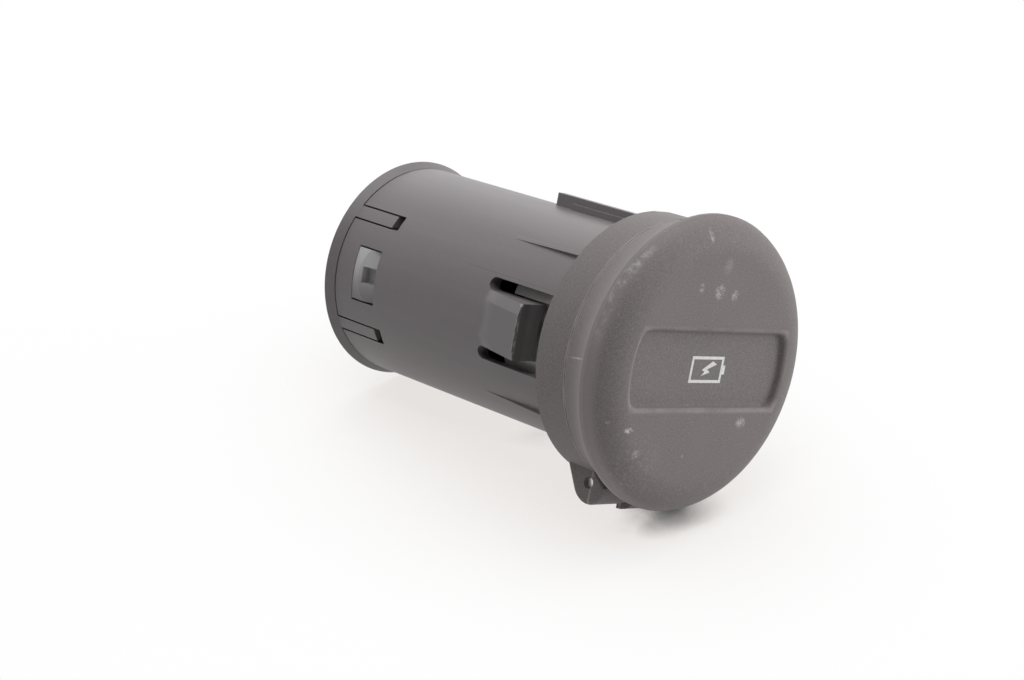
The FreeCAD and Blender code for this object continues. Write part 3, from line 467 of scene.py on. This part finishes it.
class SOCKET_OT_soft_parts(bpy.types.Operator):
    """Give the lid and the collar their worn soft-touch finish"""

    bl_idname = "socket.soft_parts"
    bl_label = "Lid and collar"

    def execute(self, context):
        props = context.scene.socket_finish
        colour = props.soft_colour
        finish = Finish("soft_plastic_finish")
        fine = finish.noise(props.soft_grain, detail=3.0, roughness=0.65)
        cloud = finish.noise(7 * MM, detail=3.0)
        tone = finish.mix(finish.span(fine, 0.34, 0.66), shade(colour, 0.80), shade(colour, 1.17))
        specks = finish.noise(props.soft_grain * 1.3, detail=1.0)
        tone = finish.mix(finish.span(specks, 0.62, 0.78, 0.0, 0.6), tone, shade(colour, 1.6))
        tone = finish.mix(finish.span(cloud, 0.40, 0.72, 0.0, 0.22), tone, shade(colour, 1.16))
        # Painted highlight along the crest and flare, partly rub wear
        tone = finish.mix(self.painted_crest_highlight(finish), tone, shade(colour, 1.55))
        # Painted highlights on the recess lips and along the seam, with some polish wear
        tone = finish.mix(self.lip_and_seam_highlight(finish), tone, shade(colour, 2.1))
        tone = finish.mix(self.dust(finish), tone, shade(colour, 1.9))
        tone = finish.mix(self.scratch(finish), tone, (*props.scratch_colour, 1.0))
        tone = finish.mix(self.scuffs(finish), tone, (*props.wear_colour, 1.0))
        finish.set(Base_Color=tone, Specular_IOR_Level=0.35)
        finish.set(Roughness=finish.span(fine, 0.2, 0.8, 0.58, 0.72))
        radius = self.edge_radius(finish, props)
        finish.set(Normal=finish.bump(fine, 0.03 * MM, 0.5, finish.soft_edges(radius)))
        give(finish.material, "lid", "collar")
        return {"FINISHED"}

    def edge_radius(self, finish, props):
        """Sharp by the seam, rounded on the lid, and softest round the finger recess."""
        y = finish.axes["Y"]
        away = finish.span(y, -5.6 * MM, -6.0 * MM, 0.02 * MM, props.edge_round)
        lip = finish.span(y, -11.5 * MM, -12.2 * MM, 0.0, props.lip_round)
        return finish.math("MAXIMUM", lip, away)

    def painted_crest_highlight(self, finish):
        """Painted highlight along the crest and flare of the lid, in place of the lamps' sheen
        there, strongest at the left and lower down; a little of it is rub wear.
        """
        x, y, z = finish.axes
        back = finish.span(y, -5.5 * MM, CREST_BACK_Y)
        front = finish.span(y, DOME_Y, CREST_FRONT_Y)
        left = finish.span(x, -2 * MM, -12 * MM, 0.15, 0.75)
        below = finish.span(z, 14 * MM, 2 * MM, 0.35, 1.0)
        return finish.product(back, front, left, below)

    def lip_and_seam_highlight(self, finish):
        """Painted highlights with some polish wear: on the rounded lips of the finger recess, and a
        thin pale line along the seam, painted over the dark shade of its gap.
        """
        x, y, z = finish.axes
        flat = finish.add("CombineXYZ", X=x, Z=z).outputs[0]
        radius = finish.add("VectorMath", {"operation": "LENGTH"})
        finish.feed(radius.inputs[0], flat)
        ends = finish.math("SUBTRACT", radius.outputs["Value"], RECESS_END_RADIUS)
        sides = finish.math("SUBTRACT", finish.math("ABSOLUTE", z), RECESS_HALF_HEIGHT)
        lip = finish.band(finish.math("MAXIMUM", ends, sides), 0.28 * MM, 0.12 * MM, 0.4 * MM)
        on_face = finish.span(y, LIP_Y + 0.2 * MM, LIP_Y)
        seam = finish.band(y, SEAM_Y, 0.12 * MM, 0.10 * MM)
        broken = finish.span(finish.noise(2.2 * MM, detail=3.0), 0.3, 0.6, 0.35, 0.8)
        lip_highlight = finish.product(lip, on_face, broken, 0.45)
        return finish.math("MAXIMUM", lip_highlight, finish.product(seam, broken))

    def dust(self, finish):
        """Pale dust in the low left of the lid's border."""
        patch = finish.spot((-10.5, -12.4, -12.8), (7.5, 4.0, 7.0), (0.0, 0.7, 0.0))
        specks = finish.span(finish.noise(0.5 * MM, detail=4.0, roughness=0.7), 0.48, 0.66)
        return finish.product(patch, specks, 0.30)

    def scratch(self, finish):
        """One long shallow scratch across the lid's flare."""
        line = finish.spot((-18.0, -7.9, -0.05), (1.5, 3.4, 0.16), (0.17, 0.0, 0.0))
        broken = finish.span(finish.noise(0.6 * MM, detail=3.0), 0.30, 0.52)
        return finish.product(line, broken, 0.9)

    def scuffs(self, finish):
        """Rubbed and chipped spots on the lid, and the scuffed crest at its upper left."""
        x, y, z = finish.axes
        crest = finish.band(y, CREST_Y, 0.1 * MM, 0.8 * MM)
        left = finish.span(x, -11 * MM, -12 * MM)
        rising = finish.span(z, 1 * MM, 9 * MM)
        ending = finish.span(z, 15.2 * MM, 13.5 * MM)
        streaks = finish.span(finish.noise(2.1 * MM, detail=5.0, roughness=0.75), 0.46, 0.68)
        total = finish.product(crest, left, rising, ending, streaks, 0.6)
        crumbs = finish.noise(0.45 * MM, detail=5.0, roughness=0.75)
        broken = finish.span(crumbs, 0.42, 0.60, 0.05, 1.0)
        for centre, reach, strength in LID_SCUFFS:
            mark = finish.product(finish.spot(centre, reach), broken, strength)
            total = finish.math("MAXIMUM", total, mark)
        return total


class SOCKET_OT_barrel(bpy.types.Operator):
    """Give the barrel and the rear cap their satin moulded finish"""

    bl_idname = "socket.barrel"
    bl_label = "Barrel and rear cap"

    def execute(self, context):
        props = context.scene.socket_finish
        colour = props.barrel_colour
        finish = Finish("barrel_plastic_finish")
        fine = finish.noise(props.barrel_grain, detail=3.0, roughness=0.6)
        drawn = finish.noise(1.6 * MM, detail=4.0, stretch=DRAWN)
        tone = finish.mix(finish.span(fine, 0.3, 0.7), shade(colour, 0.92), shade(colour, 1.07))
        tone = finish.mix(finish.span(drawn, 0.42, 0.70, 0.0, 0.35), tone, shade(colour, 1.13))
        tone = finish.mix(self.mould_line(finish), tone, shade(colour, 0.45))
        # Painted shade on the outer face of the barbs
        tone = finish.mix(self.barb_face_shade(finish), tone, shade(colour, 0.52))
        tone = finish.mix(self.rubbed_barb(finish), tone, (*props.wear_colour, 1.0))
        # Painted light on the latch lugs, lighter towards their top
        tone = finish.mix(self.lug_painted_light(finish), tone, (*props.lug_lit_colour, 1.0))
        finish.set(Base_Color=tone, Specular_IOR_Level=0.5)
        finish.set(Roughness=finish.span(fine, 0.2, 0.8, 0.40, 0.52))
        radius = finish.math("MAXIMUM", self.barb_root(finish, props.root_round), props.edge_round)
        finish.set(Normal=finish.bump(fine, 0.012 * MM, 0.5, finish.soft_edges(radius)))
        give(finish.material, "outer_tube", "rear_cap")
        return {"FINISHED"}

    def barb_root(self, finish, radius):
        """The soft change from each tongue to its barb."""
        x, y, z = finish.axes
        outside = finish.span(finish.math("ABSOLUTE", x), 13.4 * MM, 13.6 * MM)
        along = finish.band(y, BARB_ROOT_Y, 1.0 * MM, 0.6 * MM)
        across = finish.band(z, 0.0, 3.3 * MM, 0.2 * MM)
        return finish.product(outside, along, across, radius)

    def barb_face_shade(self, finish):
        """Painted shade on the outer face of the barbs, a shade darker than the barrel."""
        x, y, z = finish.axes
        out = finish.span(finish.math("ABSOLUTE", x), BARB_INNER_X, BARB_OUTER_X)
        along = finish.band(y, BARB_MIDDLE_Y, 4.6 * MM, 0.6 * MM)
        across = finish.band(z, 0.0, BARB_HALF_HEIGHT, 0.1 * MM)
        return finish.product(out, along, across, 0.6)

    def lug_painted_light(self, finish):
        """Painted light on the lugs of the latch arms, inside the barrel's windows: paler than the
        barrel and lightest at the top, in place of the light on their tilted faces.
        """
        x, y, z = finish.axes
        outside = finish.span(finish.math("ABSOLUTE", x), 12.6 * MM, 12.9 * MM)
        along = finish.band(y, LUG_Y, LUG_HALF_LENGTH, 0.05 * MM)
        across = finish.band(z, 0.0, LUG_HALF_HEIGHT, 0.05 * MM)
        # Painted light: lighter towards the top of each lug
        upper = finish.span(z, -3.4 * MM, 2.4 * MM, 0.1, 1.0)
        return finish.product(outside, along, across, upper)

    def mould_line(self, finish):
        """The fine line that the mould's slide left above each tongue."""
        x, y, z = finish.axes
        outward = finish.math("MULTIPLY", finish.math("ABSOLUTE", x), MOULD_LINE_SLOPE)
        line = finish.band(finish.math("SUBTRACT", z, outward), 0.0, 0.02 * MM, 0.05 * MM)
        return finish.product(line, finish.span(y, MOULD_LINE_END_Y, 16 * MM), 0.6)

    def rubbed_barb(self, finish):
        """Pale wear on the outer front edge of the barbs."""
        x, y, _ = finish.axes
        out = finish.span(finish.math("ABSOLUTE", x), BARB_EDGE_X, 16.35 * MM)
        edge = finish.band(y, BARB_FRONT_Y, 0.06 * MM, 0.16 * MM)
        broken = finish.span(finish.noise(0.7 * MM, detail=3.0), 0.35, 0.65, 0.10, 0.45)
        corner = finish.spot((-16.3, 4.95, 3.5), (0.4, 0.35, 0.45))
        return finish.math("MAXIMUM", finish.product(out, edge, broken), corner)


# Finish of the other pieces: colour, roughness, metal or not, and the CAD nodes that take it
PIECES = {
    "pin_steel": ((0.80, 0.80, 0.78), 0.34, 1.0, ("hinge_pin",)),
    "shell_steel": ((0.66, 0.65, 0.63), 0.24, 1.0, ("usb_shell_upper", "usb_shell_lower")),
    "contact_gold": ((0.80, 0.60, 0.28), 0.22, 1.0, ("usb_contacts_upper", "usb_contacts_lower")),
    "can_metal": ((0.74, 0.74, 0.75), 0.32, 1.0, ("input_capacitor", "output_capacitor")),
    "pin_tin": ((0.68, 0.68, 0.66), 0.30, 1.0, ("connector_pins",)),
    "inner_plastic": ((0.60, 0.585, 0.575), 0.45, 0.0, ("socket_face",)),
    "header_plastic": ((0.030, 0.030, 0.032), 0.45, 0.0, ("pin_header",)),
    "port_plastic": ((0.74, 0.74, 0.72), 0.45, 0.0, ("usb_insulator_upper", "usb_insulator_lower")),
    "board_green": ((0.020, 0.135, 0.060), 0.30, 0.0, ("main_board",)),
    "coil_grey": ((0.12, 0.12, 0.125), 0.65, 0.0, ("inductor",)),
    "chip_black": (
        (0.022, 0.022, 0.022), 0.50, 0.0,
        ("controller_chip", "port_chip", "protection_diode"),
    ),
}


class SOCKET_OT_inner_pieces(bpy.types.Operator):
    """Give the pin, the ports, the board and the pieces on it their finishes"""

    bl_idname = "socket.inner_pieces"
    bl_label = "Pin, ports and board"

    def execute(self, context):
        for name, (colour, rough, metal, nodes) in PIECES.items():
            finish = Finish(name + "_finish")
            stretch = DRAWN if metal else None
            grain = finish.noise(0.14 * MM, detail=3.0, roughness=0.6, stretch=stretch)
            cloud = finish.noise(4 * MM, detail=3.0)
            mottle = finish.span(grain, 0.25, 0.75)
            tone = finish.mix(mottle, shade(colour, 0.88), shade(colour, 1.05))
            tone = finish.mix(finish.span(cloud, 0.4, 0.7, 0.0, 0.3), tone, shade(colour, 1.1))
            finish.set(Base_Color=tone, Metallic=metal)
            finish.set(Roughness=finish.span(grain, 0.2, 0.8, rough - 0.05, rough + 0.10))
            finish.set(Normal=finish.bump(grain, 0.006 * MM, 0.4, finish.soft_edges(0.08 * MM)))
            give(finish.material, *nodes)
        return {"FINISHED"}


def new_piece(context, name, mesh, material, body):
    """A finished piece from a bmesh, with the given material, riding on a body."""
    data = bpy.data.meshes.new(name)
    mesh.to_mesh(data)
    mesh.free()
    data.materials.append(material)
    piece = bpy.data.objects.new(name, data)
    context.scene.collection.objects.link(piece)
    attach(piece, body)
    return piece


# Corners of the charging bolt round the symbol's middle, in millimetres
BOLT = (
    (0.96, 1.08),
    (1.80, 0.70),
    (0.10, 0.04),
    (0.68, -0.34),
    (-0.87, -0.80),
    (-0.30, -0.28),
    (-0.84, -0.02),
)
NUB_LOW = -0.59 * MM
NUB_HIGH = 0.56 * MM


class SOCKET_OT_symbol(bpy.types.Operator):
    """Print the charging symbol on the floor of the lid's finger recess"""

    bl_idname = "socket.symbol"
    bl_label = "Printed symbol"

    def execute(self, context):
        symbol = context.scene.socket_symbol
        colour = context.scene.socket_finish.print_colour
        found, floor, *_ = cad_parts["lid"].ray_cast(Vector((0, -1, 0)), Vector((0, 1, 0)))
        if not found:
            raise RuntimeError("no floor under the symbol")
        wide = symbol.width / 2
        high = symbol.height / 2
        line = symbol.line
        bars = (
            (-wide, high - line, wide, high),
            (-wide, -high, wide, line - high),
            (-wide, line - high, line - wide, high - line),
            (wide - line, line - high, wide, high - line),
            (wide, NUB_LOW, wide + symbol.nub, NUB_HIGH),
        )
        plates = [((x0, z0), (x1, z0), (x1, z1), (x0, z1)) for x0, z0, x1, z1 in bars]
        plates.append([(x * MM, z * MM) for x, z in BOLT])
        mesh = bmesh.new()
        front = floor.y - symbol.ink
        for plate in plates:
            corners = [(x + symbol.across, front, z + symbol.up) for x, z in plate]
            mesh.faces.new([mesh.verts.new(corner) for corner in corners])
        bmesh.ops.remove_doubles(mesh, verts=mesh.verts, dist=0.0001 * MM)
        skin = bmesh.ops.extrude_face_region(mesh, geom=list(mesh.faces))
        for item in skin["geom"]:
            if isinstance(item, bmesh.types.BMVert):
                item.co.y += symbol.ink
        bmesh.ops.recalc_face_normals(mesh, faces=mesh.faces)
        ink = Finish("symbol_ink")
        worn = ink.noise(0.25 * MM, detail=3.0)
        tone = ink.mix(ink.span(worn, 0.3, 0.6), shade(colour, 0.82), shade(colour, 1.0))
        ink.set(Base_Color=tone)
        ink.set(Roughness=ink.span(worn, 0.2, 0.8, 0.50, 0.62))
        new_piece(context, "charge_symbol", mesh, ink.material, "lid")
        return {"FINISHED"}


def row_tree(name):
    """A node tree that repeats a shape along a straight row and gives it a material."""
    tree = bpy.data.node_groups.new(name, "GeometryNodeTree")
    inputs = {}
    for label, kind in (
        ("Shape", "NodeSocketObject"),
        ("Count", "NodeSocketInt"),
        ("Start", "NodeSocketVector"),
        ("Step", "NodeSocketVector"),
        ("Finish", "NodeSocketMaterial"),
    ):
        socket = tree.interface.new_socket(label, in_out="INPUT", socket_type=kind)
        inputs[label] = socket.identifier
    tree.interface.new_socket("Geometry", in_out="OUTPUT", socket_type="NodeSocketGeometry")
    entry = tree.nodes.new("NodeGroupInput")
    result = tree.nodes.new("NodeGroupOutput")
    row = tree.nodes.new("GeometryNodeMeshLine")
    shape = tree.nodes.new("GeometryNodeObjectInfo")
    spread = tree.nodes.new("GeometryNodeInstanceOnPoints")
    real = tree.nodes.new("GeometryNodeRealizeInstances")
    paint = tree.nodes.new("GeometryNodeSetMaterial")
    for source, target in (
        (entry.outputs["Count"], row.inputs["Count"]),
        (entry.outputs["Start"], row.inputs["Start Location"]),
        (entry.outputs["Step"], row.inputs["Offset"]),
        (entry.outputs["Shape"], shape.inputs["Object"]),
        (row.outputs["Mesh"], spread.inputs["Points"]),
        (shape.outputs["Geometry"], spread.inputs["Instance"]),
        (spread.outputs["Instances"], real.inputs["Geometry"]),
        (real.outputs["Geometry"], paint.inputs["Geometry"]),
        (entry.outputs["Finish"], paint.inputs["Material"]),
        (paint.outputs["Geometry"], result.inputs["Geometry"]),
    ):
        tree.links.new(source, target)
    return tree, inputs


def strip(name, path, across, thick):
    """A sheet-metal strip bent along a path. Across reaches from its middle to one long edge."""
    mesh = bmesh.new()
    points = [Vector(point) for point in path]
    rows = []
    for index, point in enumerate(points):
        ahead = points[min(index + 1, len(points) - 1)] - points[max(index - 1, 0)]
        out = ahead.cross(across).normalized() * (thick / 2)
        sides = (-across - out, across - out, across + out, out - across)
        rows.append([mesh.verts.new(point + side) for side in sides])
    for first, last in zip(rows, rows[1:]):
        for index in range(4):
            after = (index + 1) % 4
            mesh.faces.new((first[index], first[after], last[after], last[index]))
    mesh.faces.new(rows[0])
    mesh.faces.new(rows[-1])
    bmesh.ops.recalc_face_normals(mesh, faces=mesh.faces)
    data = bpy.data.meshes.new(name)
    mesh.to_mesh(data)
    mesh.free()
    return bpy.data.objects.new(name, data)


def rows_of(context, name, rows, material):
    """Rows, each a shape, a count, a start and a step, made into one piece on the housing."""
    tree, inputs = row_tree(name + "_rows")
    mesh = bmesh.new()
    for shape, count, start, step in rows:
        carrier = bpy.data.objects.new(name + "_row", bpy.data.meshes.new(name + "_row"))
        for used in (shape, carrier):
            context.scene.collection.objects.link(used)
        modifier = carrier.modifiers.new("Row", "NODES")
        modifier.node_group = tree
        values = {"Shape": shape, "Count": count, "Start": start, "Step": step, "Finish": material}
        for label, value in values.items():
            modifier[inputs[label]] = value
        whole = carrier.evaluated_get(context.evaluated_depsgraph_get())
        plain = bpy.data.meshes.new_from_object(whole)
        if not plain.vertices:
            raise RuntimeError("an empty row of " + name)
        mesh.from_mesh(plain)
        carrier.modifiers.remove(modifier)
        bpy.data.meshes.remove(plain)
        for used in (carrier, shape):
            bpy.data.objects.remove(used)
    return new_piece(context, name, mesh, material, "housing")


# Bends of one chip lead, out from the chip's side and up from the board, in millimetres
LEAD_BENDS = ((-0.1, 0.75), (0.3, 0.75), (0.42, 0.62), (0.5, 0.24), (0.62, 0.1), (1.1, 0.1))
LEADS_A_SIDE = 4
LEAD_SHEET = 0.17 * MM
SHELL_SHEET = 0.3 * MM
SPRING_SHEET = 0.14 * MM
SPRING_LENGTH = 6.2 * MM
SPRING_SETBACK = 1.2 * MM
SPRING_STEPS = 12


class SOCKET_OT_fittings(bpy.types.Operator):
    """Add the chip leads on the board and the plug springs in the ports"""

    bl_idname = "socket.fittings"
    bl_label = "Leads and springs"

    def execute(self, context):
        sizes = context.scene.socket_fittings
        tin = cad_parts["connector_pins"].data.materials[0]
        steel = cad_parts["usb_shell_upper"].data.materials[0]
        rows_of(context, "chip_leads", self.lead_rows(sizes), tin)
        rows_of(context, "plug_springs", self.spring_rows(sizes), steel)
        return {"FINISHED"}

    def lead_rows(self, sizes):
        """Bent leads down both long sides of the controller chip."""
        low, high = (Vector(corner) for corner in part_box("controller_chip"))
        first = (low.y + high.y - sizes.lead_pitch * (LEADS_A_SIDE - 1)) / 2
        across = Vector((0.0, sizes.lead_width / 2, 0.0))
        rows = []
        for side, face in ((1, high.x), (-1, low.x)):
            path = [(side * x * MM, 0.0, z * MM) for x, z in LEAD_BENDS]
            lead = strip("lead", path, across, LEAD_SHEET)
            rows.append((lead, LEADS_A_SIDE, (face, first, low.z), (0.0, sizes.lead_pitch, 0.0)))
        return rows

    def spring_rows(self, sizes):
        """Two bowed springs on the wall of each port that faces away from its contacts."""
        across = Vector((sizes.spring_width / 2, 0.0, 0.0))
        rows = []
        for port, side in (("upper", 1), ("lower", -1)):
            low, high = (Vector(corner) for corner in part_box("usb_shell_" + port))
            wall = (low.z if side > 0 else high.z) + side * SHELL_SHEET
            path = []
            for step in range(SPRING_STEPS + 1):
                along = step / SPRING_STEPS
                bow = SPRING_SHEET / 2 + math.sin(math.pi * along) ** 1.5 * sizes.spring_reach
                path.append((0.0, along * SPRING_LENGTH, side * bow))
            spring = strip("spring", path, across, SPRING_SHEET)
            start = (-sizes.spring_spread / 2, low.y + SPRING_SETBACK, wall)
            rows.append((spring, 2, start, (sizes.spring_spread, 0.0, 0.0)))
        return rows


# Width of the camera's sensor in millimetres, and its nearest and furthest sight in metres
SENSOR_WIDTH = 36.0
SIGHT = (0.01, 20.0)

# Half the table's side in metres, and the stretch under the barrel where the contact shade fades
TABLE_REACH = 1.2
SHADE_FADE = (6 * MM, 24 * MM)

# Point that the lamps look at. A lamp has its place to the right, toward the camera and up from
# there, and the side of its square, in metres
LAMP_AIM = (0.0, 0.012, 0.0)
LAMPS = {
    "top": ((0.0, -0.04, 0.45), 0.55),
    "back": ((0.0, -0.41, 0.18), 0.36),
    "side": ((0.44, 0.0, 0.095), 0.32),
    "left": ((-0.31, -0.31, 0.11), 0.32),
}


def camera_axes(stage):
    """The camera's right, up and back directions from its turn, height and roll."""
    flat = math.cos(stage.elevation)
    across = math.sin(stage.azimuth) * flat
    along = -math.cos(stage.azimuth) * flat
    back = Vector((across, along, math.sin(stage.elevation)))
    level = Vector((0, 0, 1)).cross(back).normalized()
    right = Matrix.Rotation(stage.roll, 3, back) @ level
    return right, back.cross(right), back


class SOCKET_OT_stage(bpy.types.Operator):
    """Set the table, the soft lamps and the camera"""

    bl_idname = "socket.stage"
    bl_label = "Stage"

    def execute(self, context):
        scene = context.scene
        stage = scene.socket_stage
        right, up, back = camera_axes(stage)
        self.camera(scene, stage, right, up, back)
        normal = up * math.cos(stage.table_pitch) + back * math.sin(stage.table_pitch)
        near = right.cross(normal)
        self.table(scene, stage, right, near, normal)
        self.lamps(scene, stage, right, near, normal)
        self.room(scene, stage)
        scene.view_settings.view_transform = "Standard"
        return {"FINISHED"}

    def camera(self, scene, stage, right, up, back):
        """The camera where the picture was taken from."""
        data = bpy.data.cameras.new("photo_camera")
        data.sensor_fit = "HORIZONTAL"
        data.sensor_width = SENSOR_WIDTH
        data.lens = stage.lens
        data.clip_start, data.clip_end = SIGHT
        camera = bpy.data.objects.new("photo_camera", data)
        turn = Matrix((right, up, back)).transposed().to_4x4()
        camera.matrix_world = Matrix.Translation(stage.place) @ turn
        scene.collection.objects.link(camera)
        scene.camera = camera

    def table(self, scene, stage, right, near, normal):
        """A pale table under the object's lowest point."""
        points = (point.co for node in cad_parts.values() for point in node.data.vertices)
        low = normal * min(point.dot(normal) for point in points)
        wide = right * TABLE_REACH
        deep = near * TABLE_REACH
        corners = (low - wide + deep, low + wide + deep, low + wide - deep, low - wide - deep)
        mesh = bmesh.new()
        face = mesh.faces.new([mesh.verts.new(corner) for corner in corners])
        face.normal_update()
        if face.normal.dot(normal) < 0:
            face.normal_flip()
        data = bpy.data.meshes.new("table")
        mesh.to_mesh(data)
        mesh.free()
        data.materials.append(self.table_finish(stage))
        table = bpy.data.objects.new("table", data)
        table.visible_shadow = False
        scene.collection.objects.link(table)

    def table_finish(self, stage):
        """Matt white, clear from below. The camera sees the shade on it and the room through it."""
        finish = Finish("table_white")
        finish.tree.nodes.remove(finish.shader)
        matt = finish.add("BsdfDiffuse", Color=(*stage.table_colour, 1.0)).outputs[0]
        path = finish.add("LightPath").outputs
        seen = finish.math("MAXIMUM", path["Is Camera Ray"], path["Is Glossy Ray"])
        seen = finish.math("MAXIMUM", seen, path["Is Transmission Ray"])
        shadow = finish.add("BsdfDiffuse", Color=(*stage.shadow_colour, 1.0)).outputs[0]
        rest = [1.0 - share for share in stage.shadow_colour]
        close = finish.add("AmbientOcclusion", {"samples": 16}, Distance=stage.shadow_reach)
        around = finish.add("AmbientOcclusion", {"samples": 8}, Distance=stage.shade_reach)
        fading = finish.span(finish.axes["Y"], *SHADE_FADE, 0.0, 0.75)
        near = finish.math("MAXIMUM", close.outputs["AO"], fading)
        open_share = finish.span(around.outputs["AO"], 0.3, 1.0)
        soft = finish.mix(open_share, (*stage.shade_colour, 1.0), (*rest, 1.0))
        shown = finish.mix(finish.span(near, 0.1, 0.8), BLACK, soft)
        # See-through, so the open lid still shows where it swings lower than the table
        white = finish.add("BsdfTransparent", Color=shown).outputs[0]
        both = finish.add("AddShader")
        finish.feed(both.inputs[0], shadow)
        finish.feed(both.inputs[1], white)
        clear = finish.add("BsdfTransparent").outputs[0]
        under = finish.add("NewGeometry").outputs["Backfacing"]
        top = self.either(finish, seen, matt, both.outputs[0])
        surface = finish.tree.nodes["Material Output"].inputs["Surface"]
        finish.feed(surface, self.either(finish, under, top, clear))
        return finish.material

    def either(self, finish, share, first, second):
        """One of two shaders, by a share of 0 or 1."""
        item = finish.add("MixShader")
        for socket, value in zip(item.inputs, (share, first, second)):
            finish.feed(socket, value)
        return item.outputs[0]

    def lamps(self, scene, stage, right, near, normal):
        """Soft lamps: a large one overhead, one behind, low ones at the right and the back left."""
        middle = Vector(LAMP_AIM)
        for name, ((across, toward, high), size) in LAMPS.items():
            data = bpy.data.lights.new(name + "_lamp", "AREA")
            data.shape = "SQUARE"
            data.size = size
            data.energy = getattr(stage, name + "_power")
            lamp = bpy.data.objects.new(name + "_lamp", data)
            place = middle + right * across + near * toward + normal * high
            aim = (middle - place).to_track_quat("-Z", "Y").to_matrix().to_4x4()
            lamp.matrix_world = Matrix.Translation(place) @ aim
            scene.collection.objects.link(lamp)

    def room(self, scene, stage):
        """White all round for the camera and for reflections, and a faint even light."""
        world = bpy.data.worlds.new("white_room")
        world.use_nodes = True
        tree = world.node_tree
        path = tree.nodes.new("ShaderNodeLightPath").outputs
        strength = None
        for ray in ("Is Camera Ray", "Is Glossy Ray", "Is Transmission Ray"):
            larger = tree.nodes.new("ShaderNodeMath")
            larger.operation = "MAXIMUM"
            tree.links.new(path[ray], larger.inputs[0])
            if strength is None:
                larger.inputs[1].default_value = stage.room_light
            else:
                tree.links.new(strength, larger.inputs[1])
            strength = larger.outputs[0]
        background = tree.nodes["Background"]
        background.inputs["Color"].default_value = WHITE
        tree.links.new(strength, background.inputs["Strength"])
        scene.world = world


class SOCKET_PT_sidebar(bpy.types.Panel):
    """Lists the steps and the settings of the charging socket"""

    bl_idname = "SOCKET_PT_sidebar"
    bl_label = "Charging socket"
    bl_space_type = "VIEW_3D"
    bl_region_type = "UI"
    bl_category = "Socket"

    def draw(self, context):
        for step in STEPS:
            self.layout.operator(step.bl_idname)
        for name, group in GROUPS.items():
            for key in group.__annotations__:
                self.layout.prop(getattr(context.scene, name), key)


GROUPS = {
    "socket_finish": SocketFinish,
    "socket_symbol": SocketSymbol,
    "socket_fittings": SocketFittings,
    "socket_stage": SocketStage,
}

STEPS = (
    SOCKET_OT_soft_parts,
    SOCKET_OT_barrel,
    SOCKET_OT_inner_pieces,
    SOCKET_OT_symbol,
    SOCKET_OT_fittings,
    SOCKET_OT_stage,
)


def register():
    for name, group in GROUPS.items():
        bpy.utils.register_class(group)
        setattr(bpy.types.Scene, name, bpy.props.PointerProperty(type=group))
    for step in STEPS:
        bpy.utils.register_class(step)
    bpy.utils.register_class(SOCKET_PT_sidebar)


def unregister():
    bpy.utils.unregister_class(SOCKET_PT_sidebar)
    for step in reversed(STEPS):
        bpy.utils.unregister_class(step)
    for name, group in GROUPS.items():
        delattr(bpy.types.Scene, name)
        bpy.utils.unregister_class(group)


def main():
    """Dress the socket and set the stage."""
    register()
    bpy.ops.socket.soft_parts()
    bpy.ops.socket.barrel()
    bpy.ops.socket.inner_pieces()
    bpy.ops.socket.symbol()
    bpy.ops.socket.fittings()
    bpy.ops.socket.stage()
    bpy.context.view_layer.update()


if __name__ == "__main__":
    main()
